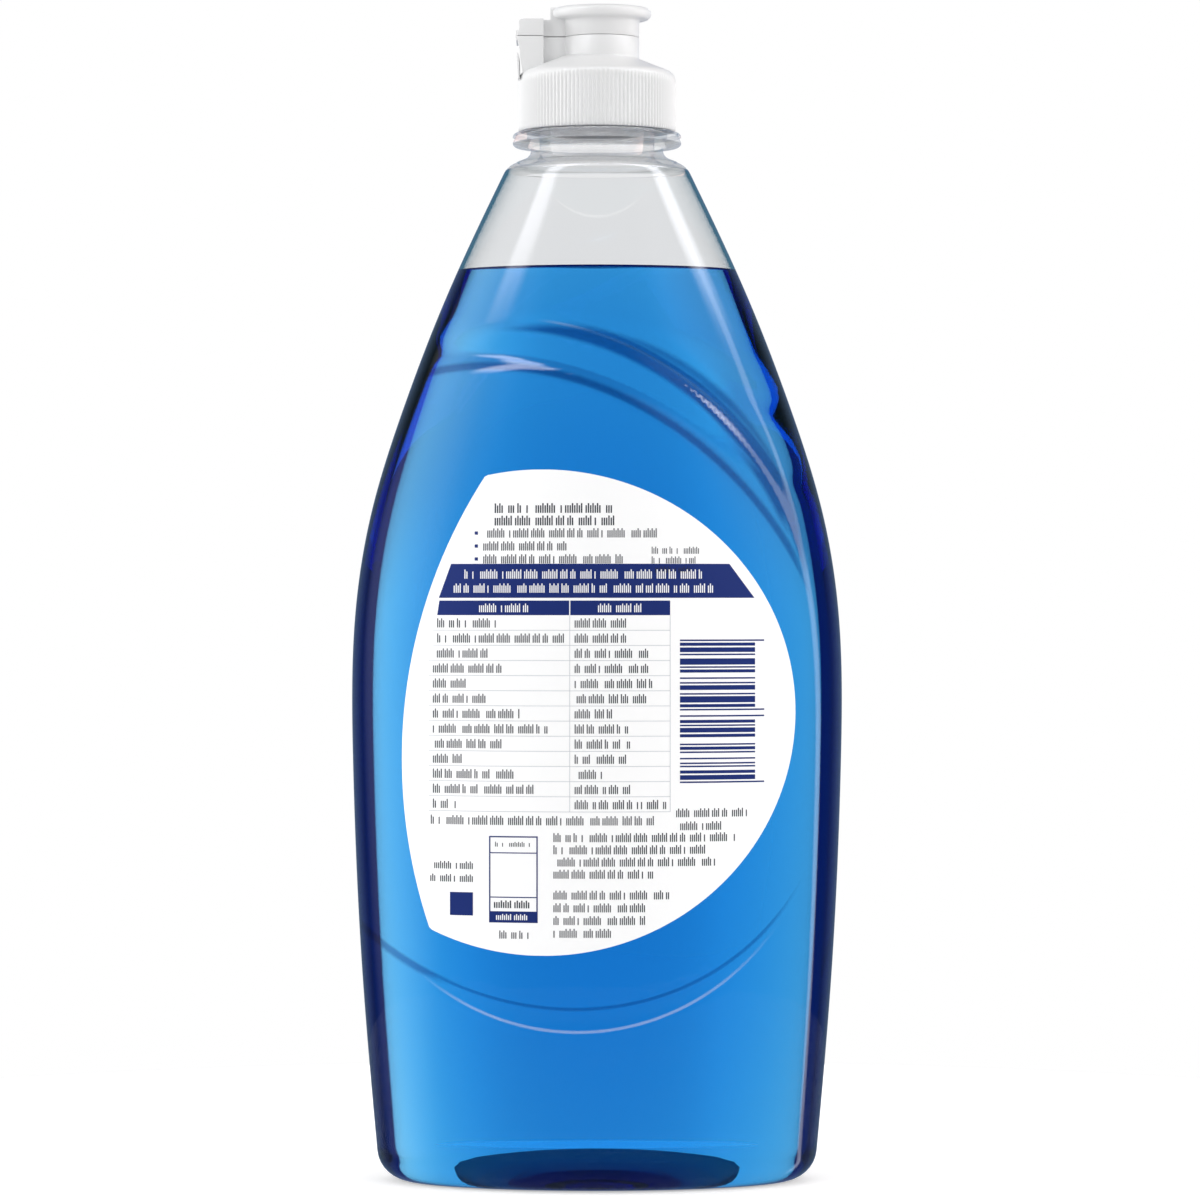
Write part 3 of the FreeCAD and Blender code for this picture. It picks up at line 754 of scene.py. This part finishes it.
for row, (radius, height) in enumerate(skirt_profile[:ribbed_rows]):
    fade = np.clip((SHOULDER_EDGE - 0.2 - height) / RIB_FADE, 0, 1)
    skirt_grid[row, :, :2] *= (1 - RIB_DEPTH * fade * rib_wave / radius)[:, None]
skirt = woven("closure_skirt", skirt_grid, loop=True, sharp=60)
dressed(skirt, "closure", "closure_base")

# Tower and spout: up the outside, over the spout's rounded edge, down through the small
# hole and along the inside of the chimney.
TOWER_RADIUS = 7.22
SPOUT_TOP = 219.3
HOLE_RADIUS = 1.75
TURNED = 96
tower_profile = [(5.92, 211.0), (7.6, 211.0), (7.62, 212.0), (7.5, 212.45), (7.26, 212.7),
                 (TOWER_RADIUS, 213.2), (TOWER_RADIUS, PARTING - 0.15), (7.1, PARTING),
                 (5.9, PARTING), (5.62, PARTING + 0.2), (5.24, SPOUT_TOP - 0.3),
                 (5.1, SPOUT_TOP - 0.08), (4.9, SPOUT_TOP), (HOLE_RADIUS + 0.2, SPOUT_TOP),
                 (HOLE_RADIUS, SPOUT_TOP - 0.2), (HOLE_RADIUS, SPOUT_TOP - 0.8),
                 (HOLE_RADIUS + 0.2, SPOUT_TOP - 0.9), (4.6, SPOUT_TOP - 0.9), (4.6, 215.9),
                 (5.92, 215.9)]
tower_grid = round_rows(tower_profile, TURNED)
tower_grid[..., 0] += TOWER_X
tower = woven("closure_tower", tower_grid, loop=True, sharp=50)
dressed(tower, "closure")


def prism(name, outline, half, rounding):
    """A block with a side outline, as wide as twice the half, with softened edges."""
    count = len(outline)
    shape = bmesh.new()
    near = [shape.verts.new((x * MM, -half * MM, z * MM)) for x, z in outline]
    far = [shape.verts.new((x * MM, half * MM, z * MM)) for x, z in outline]
    shape.faces.new(near)
    shape.faces.new(list(reversed(far)))
    for number in range(count):
        after = (number + 1) % count
        shape.faces.new((near[after], near[number], far[number], far[after]))
    bmesh.ops.recalc_face_normals(shape, faces=shape.faces)
    bmesh.ops.bevel(shape, geom=shape.edges, offset=rounding * MM, segments=3, affect="EDGES",
                    profile=0.5, clamp_overlap=True)
    mesh = bpy.data.meshes.new(name)
    shape.to_mesh(mesh)
    shape.free()
    mesh.shade_smooth()
    mesh.set_sharp_from_angle(angle=math.radians(35))
    piece = bpy.data.objects.new(name, mesh)
    bpy.context.scene.collection.objects.link(piece)
    return piece


# Hinge block under the parting line: a web towards the tower, a wider step at the rear,
# and a thin strap behind a V-shaped notch. It is moulded in one with the shoulder. The
# web lies a hair lower than the faces beside it, so no two faces share one plane.
BLOCK_HALF = 4.6
WEB_HALF = 2.4
BLOCK_EDGE = 0.15
HAIR = 0.02
base_step = prism("hinge_step", [(-10.1, 209.5), (-13.9, 209.0), (-14.95, PARTING - 0.9),
                                 (-15.1, PARTING - 0.25), (-15.0, PARTING), (-10.1, PARTING)],
                  BLOCK_HALF, BLOCK_EDGE)
base_web = prism("hinge_web", [(-10.2, 209.8), (-10.2, PARTING - HAIR), (-5.5, PARTING - HAIR),
                               (-5.5, 212.0)], WEB_HALF, BLOCK_EDGE)
strap = prism("hinge_strap", [(-14.6, 208.6), (-14.95, 208.6), (-15.2, 213.4), (-14.95, 213.6),
                              (-14.75, 212.9)], BLOCK_HALF, 0.08)
for piece in (base_step, base_web, strap):
    dressed(piece, "closure")

# Lid: a cup that covers the spout, a round flange to push up with a thumb, and the
# upper half of the hinge block. A pin inside stops the small hole.
LID_BOTTOM = 216.8
LID_TOP = 222.3
FLANGE_RADIUS = 9.5
FLANGE_THICKNESS = 2.1
FLANGE_BOTTOM = LID_TOP - FLANGE_THICKNESS
CUP_BORE = 6.07
PIN_RADIUS = 1.5
PIN_BOTTOM = 218.75
flange_middle = LID_TOP - FLANGE_THICKNESS / 2
flange_edge = FLANGE_THICKNESS / 2
lid_profile = [(0.0, PIN_BOTTOM), (PIN_RADIUS - 0.3, PIN_BOTTOM), (PIN_RADIUS, PIN_BOTTOM + 0.2),
               (PIN_RADIUS, FLANGE_BOTTOM), (5.8, FLANGE_BOTTOM), (CUP_BORE, FLANGE_BOTTOM - 0.3),
               (CUP_BORE, LID_BOTTOM), (7.1, LID_BOTTOM), (TOWER_RADIUS, LID_BOTTOM + 0.12),
               (TOWER_RADIUS, FLANGE_BOTTOM - 0.5), (7.5, FLANGE_BOTTOM - 0.1)]
lid_profile += [(FLANGE_RADIUS - flange_edge + flange_edge * math.cos(turn),
                 flange_middle + flange_edge * math.sin(turn))
                for turn in np.linspace(-math.pi / 2, math.pi / 2, 13)]
lid_profile += [(7.6, LID_TOP - 0.12), (4.0, LID_TOP - 0.2), (0.0, LID_TOP - 0.2)]
lid_grid = round_rows(lid_profile, TURNED)
lid_grid[..., 0] += TOWER_X
lid = woven("lid_cup", lid_grid, sharp=50)
dressed(lid, "lid", "closure_lid")
lid_step = prism("lid_step", [(-10.1, LID_BOTTOM), (-15.0, LID_BOTTOM), (-15.1, LID_BOTTOM + 0.25),
                              (-14.75, 218.2), (-14.75, 219.6), (-14.3, 220.0), (-10.1, 220.0)],
                 BLOCK_HALF, BLOCK_EDGE)
lid_web = prism("lid_web", [(-10.2, LID_BOTTOM + HAIR), (-10.2, 219.97), (-8.87, 219.97),
                            (-8.87, LID_TOP), (-7.6, LID_TOP), (-7.4, LID_TOP - 0.3),
                            (-5.6, LID_TOP - 0.3), (-5.6, LID_BOTTOM + HAIR)], WEB_HALF, BLOCK_EDGE)
for piece in (lid_step, lid_web):
    dressed(piece, "lid")

# Hinge film: the thin strip of the same plastic that joins both halves of the block along the hinge
# line. On the closure it bends when the lid swings; here it is one fixed strip.
FILM_X = -15.2
FILM_HALF = 4.5
film_outline = [(-0.12, -0.9), (0.25, -0.9), (0.2, 0.05), (0.25, 1.0), (-0.12, 1.0), (-0.2, 0.05)]
film_strip = prism("hinge_film", [(FILM_X + x, PARTING + z) for x, z in film_outline],
                   FILM_HALF, 0.05)
film_strip.data.materials.append(closure_plastic)
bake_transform(film_strip)

# Studio: a pale floor, a world that is white to the camera and bright wherever the light
# comes straight through the bottle, a few soft reflections, and four soft lamps.
FLOOR_RADIUS = 0.24
bpy.ops.mesh.primitive_circle_add(vertices=96, radius=FLOOR_RADIUS, fill_type="NGON")
floor = bpy.context.active_object
floor.name = "studio_floor"
floor_paint = material("studio_floor", Base_Color=(0.86, 0.86, 0.86, 1), Roughness=0.9,
                       Emission_Color=(1, 1, 1, 1))
floor_tree = floor_paint.node_tree
ray = floor_tree.nodes.new("ShaderNodeLightPath")
to_camera = arithmetic(floor_tree, "MULTIPLY", ray.outputs["Is Camera Ray"], 0.4)
through_bottle = arithmetic(floor_tree, "MULTIPLY", ray.outputs["Is Transmission Ray"], 0.25)
floor_glow = arithmetic(floor_tree, "ADD", to_camera, through_bottle)
floor_tree.links.new(floor_glow, floor_tree.nodes["Principled BSDF"].inputs["Emission Strength"])
floor.data.materials.append(floor_paint)
floor.visible_glossy = False

scene = bpy.context.scene
world = bpy.data.worlds.new("studio")
scene.world = world
world.use_nodes = True
sky = world.node_tree
nodes = sky.nodes
links = sky.links
nodes.clear()
direction = nodes.new("ShaderNodeTexCoord").outputs["Generated"]
path = nodes.new("ShaderNodeLightPath")


def share_towards(way, low, high):
    """How much a direction of light points one way, from 0 to 1."""
    toward = vector_step(sky, "DOT_PRODUCT", direction, tuple(np.array(way) / np.linalg.norm(way)))
    return rising(sky, toward, low, high)


def glow(share, colour):
    """Light of one colour, as strong as its share."""
    node = nodes.new("ShaderNodeVectorMath")
    node.operation = "SCALE"
    for socket, value in ((node.inputs[0], colour), (node.inputs["Scale"], share)):
        if isinstance(value, (tuple, float)):
            socket.default_value = value
        else:
            links.new(value, socket)
    return node.outputs["Vector"]


def together(first, second):
    """Two lights added."""
    node = nodes.new("ShaderNodeVectorMath")
    node.operation = "ADD"
    links.new(first, node.inputs[0])
    links.new(second, node.inputs[1])
    return node.outputs["Vector"]


def choose(share, off, on):
    """One light where the share is 0 and another where it is 1."""
    return together(glow(share, on), glow(arithmetic(sky, "SUBTRACT", 1.0, share), off))


# What shows through the bottle: a bright field, a little dimmer straight behind and low
# down, warmer on the right, under a dark ceiling. Light that was turned back inside the
# plastic or the soap comes from the dim blue rest of the room.
DIM = (0.03, 0.14, 0.2)
WARM = (1.2, 0.5, 0.3)
through = glow(1.0, (1.0, 1.0, 1.0))
for way, low, high, colour in (((0, 1, 0), 0.97, 0.998, (-0.12, -0.12, -0.12)),
                               ((0, 0, -1), 0.05, 0.16, (-0.3, -0.3, -0.25))):
    through = together(through, glow(share_towards(way, low, high), colour))
level = arithmetic(sky, "SUBTRACT", 1.0, share_towards((0, 0, -1), 0.12, 0.34))
warm_side = arithmetic(sky, "MULTIPLY", share_towards((0.9, 0.43, 0), 0.6, 0.95), level)
through = together(through, glow(warm_side, WARM))
through = choose(share_towards((0, 0, 1), 0.34, 0.66), through, glow(0.5, DIM))
turned_back = arithmetic(sky, "MINIMUM", path.outputs["Glossy Depth"], 1.0)
through = choose(turned_back, through, glow(1.0, DIM))

# What the gloss reflects: a slate field behind, soft lights high on both sides of a dim
# room, and a narrow strip that runs from overhead down to the right.
SIDE_LIGHT = (0.3, 0.3, 0.3)
STRIP_FACING = (-0.187, 0.853, 0.489)
mirrored = glow(1.0, (0.03, 0.05, 0.07))
for way, low, high, colour in (((0, 1, 0), 0.5, 0.85, (0.1, 0.15, 0.26)),
                               ((-1, 0.0, 0.2), 0.78, 0.96, (0.5, 0.5, 0.5)),
                               ((-0.75, -0.25, 0.65), 0.78, 0.96, SIDE_LIGHT),
                               ((0.75, -0.25, 0.65), 0.78, 0.96, SIDE_LIGHT)):
    mirrored = together(mirrored, glow(share_towards(way, low, high), colour))
across_strip = vector_step(sky, "DOT_PRODUCT", direction, STRIP_FACING)
off_strip = arithmetic(sky, "ABSOLUTE", across_strip, 0.0)
wide_strip = arithmetic(sky, "MULTIPLY", band(sky, off_strip, -2, -1, 0.06, 0.18),
                        share_towards((0, 0, 1), 0.4, 0.55))
thin_strip = arithmetic(sky, "MULTIPLY", band(sky, off_strip, -2, -1, 0.02, 0.07),
                        share_towards((1, 0, 0), 0.5, 0.8))
for share, colour in ((wide_strip, (7.0, 7.0, 7.4)), (thin_strip, (2.2, 2.2, 2.4))):
    mirrored = together(mirrored, glow(share, colour))
studio = choose(path.outputs["Is Reflection Ray"], through, mirrored)
studio = choose(path.outputs["Is Diffuse Ray"], studio, glow(1.0, (0.74, 0.74, 0.74)))
studio_light = nodes.new("ShaderNodeBackground")
links.new(studio, studio_light.inputs["Color"])
backdrop = nodes.new("ShaderNodeBackground")
backdrop.inputs["Color"].default_value = (1, 1, 1, 1)
choice = nodes.new("ShaderNodeMixShader")
links.new(path.outputs["Is Camera Ray"], choice.inputs["Fac"])
links.new(studio_light.outputs[0], choice.inputs[1])
links.new(backdrop.outputs[0], choice.inputs[2])
output = nodes.new("ShaderNodeOutputWorld")
links.new(choice.outputs[0], output.inputs["Surface"])

# Four soft lamps, two in front and two beside the bottle, and the camera in front of
# the label, level with the middle of the bottle. These places are in metres.
BOTTLE_MIDDLE = 0.11
LAMP_WIDTH = 0.5
LAMP_HEIGHT = 0.9


def soft_lamp(name, place, power):
    """A soft lamp that faces the middle of the bottle."""
    light = bpy.data.lights.new(name, "AREA")
    light.shape = "RECTANGLE"
    light.size = LAMP_WIDTH
    light.size_y = LAMP_HEIGHT
    light.energy = power
    lamp = bpy.data.objects.new(name, light)
    lamp.location = place
    aim = np.array(place) - np.array((0, 0, BOTTLE_MIDDLE))
    lamp.rotation_euler = (math.acos(aim[2] / np.linalg.norm(aim)), 0,
                           math.atan2(aim[1], aim[0]) + math.pi / 2)
    lamp.visible_transmission = False
    lamp.visible_glossy = False
    scene.collection.objects.link(lamp)


soft_lamp("left_lamp", (-1.0, -1.0, 0.6), 4.6)
soft_lamp("right_lamp", (1.0, -1.0, 0.6), 4.0)
soft_lamp("left_side_lamp", (-1.2, 0.1, 0.3), 7.5)
soft_lamp("right_side_lamp", (1.2, 0.1, 0.3), 6.5)

CAMERA_DISTANCE = 0.95
CAMERA_RIGHT = 0.00057
camera_data = bpy.data.cameras.new("camera")
camera_data.lens = 150
camera_data.sensor_width = 36
camera_data.clip_end = 50
camera = bpy.data.objects.new("camera", camera_data)
camera.location = (CAMERA_RIGHT, -CAMERA_DISTANCE, BOTTLE_MIDDLE)
camera.rotation_euler = (math.pi / 2, 0, 0)
scene.collection.objects.link(camera)
scene.camera = camera
scene.view_settings.view_transform = "Standard"
scene.cycles.max_bounces = 32
scene.cycles.transmission_bounces = 32
